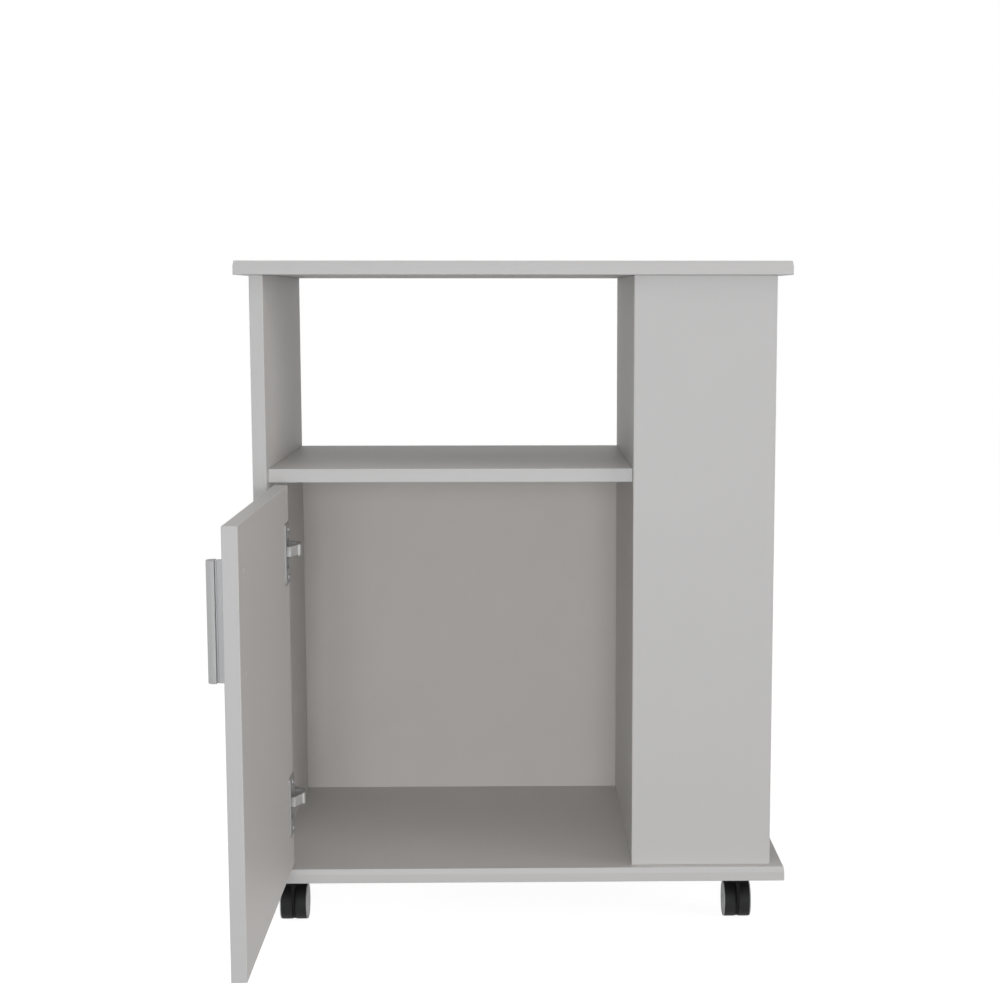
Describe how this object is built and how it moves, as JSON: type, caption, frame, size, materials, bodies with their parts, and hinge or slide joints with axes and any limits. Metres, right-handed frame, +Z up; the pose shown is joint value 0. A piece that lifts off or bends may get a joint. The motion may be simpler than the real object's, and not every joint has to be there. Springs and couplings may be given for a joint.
{
  "type": "microwave pantry cabinet",
  "caption": "White rolling kitchen cabinet with a worktop, an open niche, a cupboard with a hinged door, an open side rack and swivel casters.",
  "frame": {"origin": "on the floor, under the centre of the bounding box with the door open at a right angle", "axes": "+X to the cabinet's right, +Y to its rear, +Z up"},
  "size_m": [0.6, 0.7734, 0.74],
  "materials": {
    "white_board": "matt white melamine on particle board",
    "white_hardboard": "thin hardboard, white laminated face",
    "white_plastic": "moulded white",
    "handle_aluminium": "satin anodised",
    "hinge_steel": "nickel-plated pressed steel",
    "fastener_steel": "zinc-plated",
    "pin_steel": "plain bright steel",
    "dowel_beech": "raw beech",
    "caster_plate_steel": "zinc-plated pressing",
    "caster_black_plastic": "black moulded nylon",
    "hub_cap_grey_plastic": "grey moulded plastic"
  },
  "bodies": {
    "cabinet": {"base_board": "white_board", "top_board": "white_board", "left_side_panel": "white_board", "divider_panel": "white_board", "column_front_panel": "white_board", "column_rear_panel": "white_board", "middle_shelf": "white_board", "column_shelf_1": "white_board", "column_shelf_2": "white_board", "lower_back_panel": "white_hardboard", "cam_cover_caps": "white_plastic", "upper_hinge_arm": "hinge_steel", "upper_hinge_plate": "hinge_steel", "lower_hinge_arm": "hinge_steel", "lower_hinge_plate": "hinge_steel", "hinge_plate_screws": "fastener_steel", "hinge_arm_screws": "fastener_steel", "confirmat_screws": "fastener_steel", "back_panel_nails": "fastener_steel", "cam_bolts": "fastener_steel", "cam_locks": "fastener_steel", "caster_screws": "fastener_steel", "upper_hinge_arm_pin": "pin_steel", "lower_hinge_arm_pin": "pin_steel", "caster_kingpins": "pin_steel", "wooden_dowels": "dowel_beech", "front_left_caster_plate": "caster_plate_steel", "front_right_caster_plate": "caster_plate_steel", "rear_left_caster_plate": "caster_plate_steel", "rear_right_caster_plate": "caster_plate_steel"},
    "door": {"door_panel": "white_board", "door_handle": "handle_aluminium", "handle_screws": "fastener_steel", "hinge_cup_screws": "fastener_steel", "upper_hinge_cup": "hinge_steel", "upper_hinge_cup_pin": "pin_steel", "lower_hinge_cup": "hinge_steel", "lower_hinge_cup_pin": "pin_steel"},
    "upper_hinge_link": {"upper_hinge_link": "hinge_steel"},
    "lower_hinge_link": {"lower_hinge_link": "hinge_steel"},
    "front_left_swivel": {"front_left_caster_yoke": "caster_black_plastic"},
    "front_left_wheel_pair": {"front_left_caster_wheels": "caster_black_plastic", "front_left_caster_hub_caps": "hub_cap_grey_plastic", "front_left_caster_axle": "pin_steel"},
    "front_right_swivel": {"front_right_caster_yoke": "caster_black_plastic"},
    "front_right_wheel_pair": {"front_right_caster_wheels": "caster_black_plastic", "front_right_caster_hub_caps": "hub_cap_grey_plastic", "front_right_caster_axle": "pin_steel"},
    "rear_left_swivel": {"rear_left_caster_yoke": "caster_black_plastic"},
    "rear_left_wheel_pair": {"rear_left_caster_wheels": "caster_black_plastic", "rear_left_caster_hub_caps": "hub_cap_grey_plastic", "rear_left_caster_axle": "pin_steel"},
    "rear_right_swivel": {"rear_right_caster_yoke": "caster_black_plastic"},
    "rear_right_wheel_pair": {"rear_right_caster_wheels": "caster_black_plastic", "rear_right_caster_hub_caps": "hub_cap_grey_plastic", "rear_right_caster_axle": "pin_steel"}
  },
  "joints": [
    {"name": "door_swing", "type": "hinge", "parent": "upper_hinge_link", "child": "door", "pos_m": [-0.25101, -0.0012, 0.427], "axis": [0, 0, 1], "range_deg": [-8.18, 147.3]},
    {"name": "upper_link_swing", "type": "hinge", "parent": "cabinet", "child": "upper_hinge_link", "pos_m": [-0.2371, 0.0159, 0.427], "axis": [0, 0, 1], "range_deg": [-57.3, 3.18]},
    {"name": "lower_link_swing", "type": "hinge", "parent": "cabinet", "child": "lower_hinge_link", "pos_m": [-0.2371, 0.0159, 0.148], "axis": [0, 0, 1], "range_deg": [-57.3, 3.18]},
    {"name": "front_left_caster_swivel", "type": "hinge", "parent": "cabinet", "child": "front_left_swivel", "pos_m": [-0.2514, 0.0347, 0.048], "axis": [0, 0, 1], "continuous": true},
    {"name": "front_left_caster_roll", "type": "hinge", "parent": "front_left_swivel", "child": "front_left_wheel_pair", "pos_m": [-0.2514, 0.0467, 0.02], "axis": [1, 0, 0], "continuous": true},
    {"name": "front_right_caster_swivel", "type": "hinge", "parent": "cabinet", "child": "front_right_swivel", "pos_m": [0.2514, 0.0347, 0.048], "axis": [0, 0, 1], "continuous": true},
    {"name": "front_right_caster_roll", "type": "hinge", "parent": "front_right_swivel", "child": "front_right_wheel_pair", "pos_m": [0.2514, 0.0467, 0.02], "axis": [1, 0, 0], "continuous": true},
    {"name": "rear_left_caster_swivel", "type": "hinge", "parent": "cabinet", "child": "rear_left_swivel", "pos_m": [-0.2514, 0.3487, 0.048], "axis": [0, 0, 1], "continuous": true},
    {"name": "rear_left_caster_roll", "type": "hinge", "parent": "rear_left_swivel", "child": "rear_left_wheel_pair", "pos_m": [-0.2514, 0.3607, 0.02], "axis": [1, 0, 0], "continuous": true},
    {"name": "rear_right_caster_swivel", "type": "hinge", "parent": "cabinet", "child": "rear_right_swivel", "pos_m": [0.2514, 0.3487, 0.048], "axis": [0, 0, 1], "continuous": true},
    {"name": "rear_right_caster_roll", "type": "hinge", "parent": "rear_right_swivel", "child": "rear_right_wheel_pair", "pos_m": [0.2514, 0.3607, 0.02], "axis": [1, 0, 0], "continuous": true}
  ],
  "couplings": [
    {"joint": "upper_link_swing", "follows": "door_swing", "ratio": -0.389},
    {"joint": "lower_link_swing", "follows": "door_swing", "ratio": -0.389}
  ]
}
